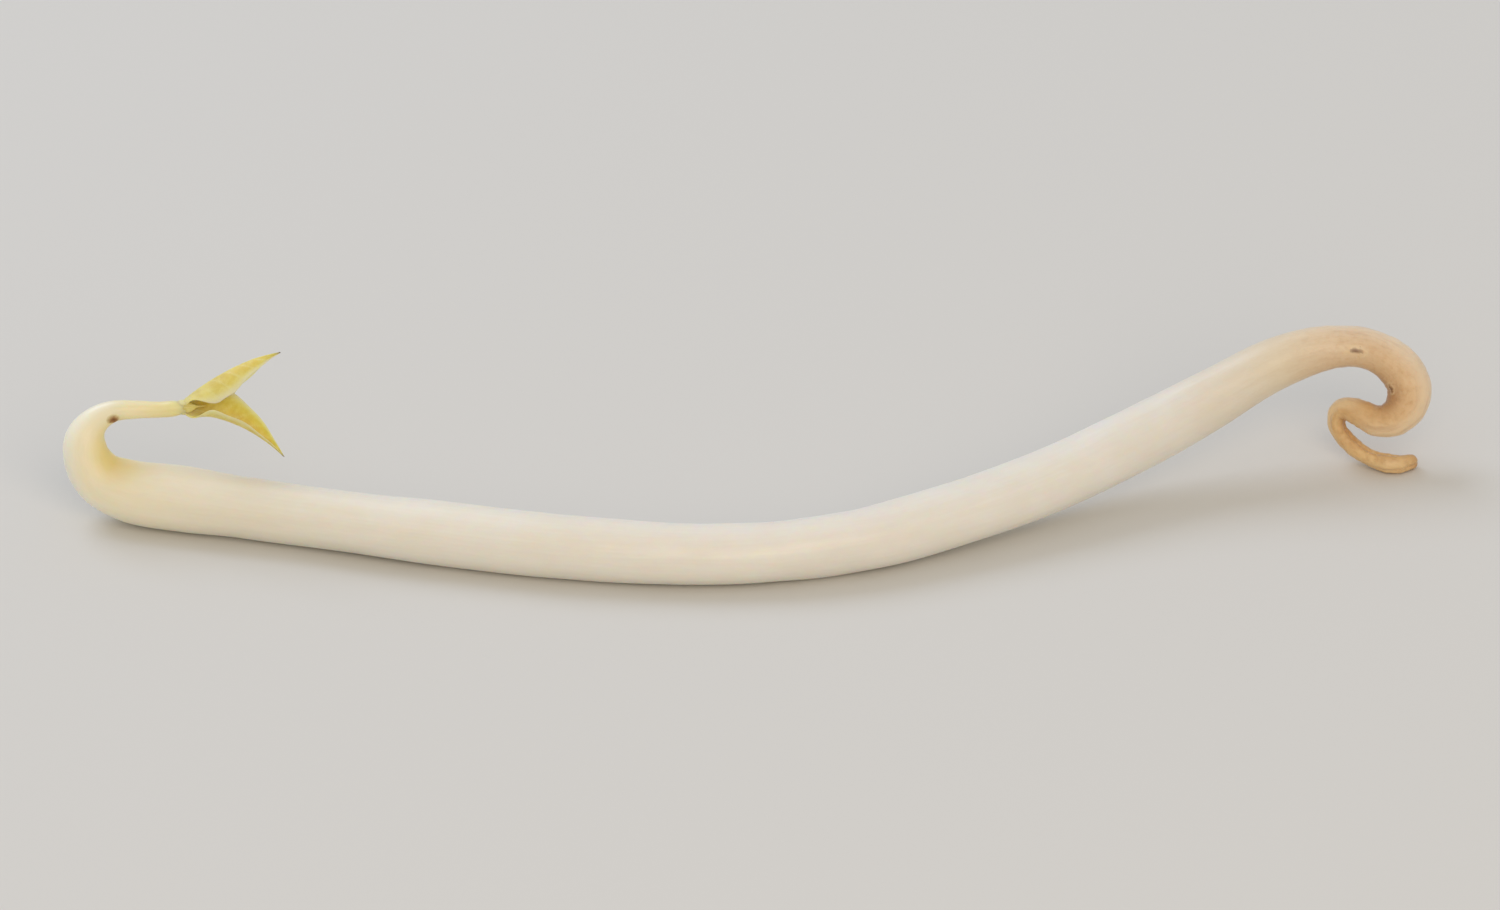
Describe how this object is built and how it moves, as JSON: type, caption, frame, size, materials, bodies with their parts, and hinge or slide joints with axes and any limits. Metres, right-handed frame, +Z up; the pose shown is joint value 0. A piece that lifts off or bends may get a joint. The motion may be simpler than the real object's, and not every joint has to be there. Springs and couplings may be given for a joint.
{
  "type": "mung bean sprout",
  "caption": "Mung bean sprout lying down: plump pale stem, tan root curled back on itself, thin hooked neck with a pair of small yellow leaves.",
  "frame": {"origin": "on the surface it lies on, under the middle of its bounding box", "axes": "+X along its length from the hooked neck to the curled root, +Y across it towards the side that the root end bends to, +Z up"},
  "size_m": [0.0848, 0.019, 0.0108],
  "materials": {
    "stem_flesh": "waxy, moist and slightly translucent",
    "root_skin": "satin, finely wrinkled along its length",
    "neck_flesh": "waxy and translucent",
    "leaf_blade": "satin leaf with a fine midrib",
    "bud_tissue": "satin",
    "scar_cork": "dry and matte"
  },
  "bodies": {
    "root": {"taproot": "root_skin", "hypocotyl": "stem_flesh", "epicotyl": "neck_flesh", "cotyledon_scar_front": "scar_cork", "cotyledon_scar_back": "scar_cork", "terminal_bud": "bud_tissue", "leaf_upper": "leaf_blade", "leaf_lower": "leaf_blade"}
  },
  "joints": []
}
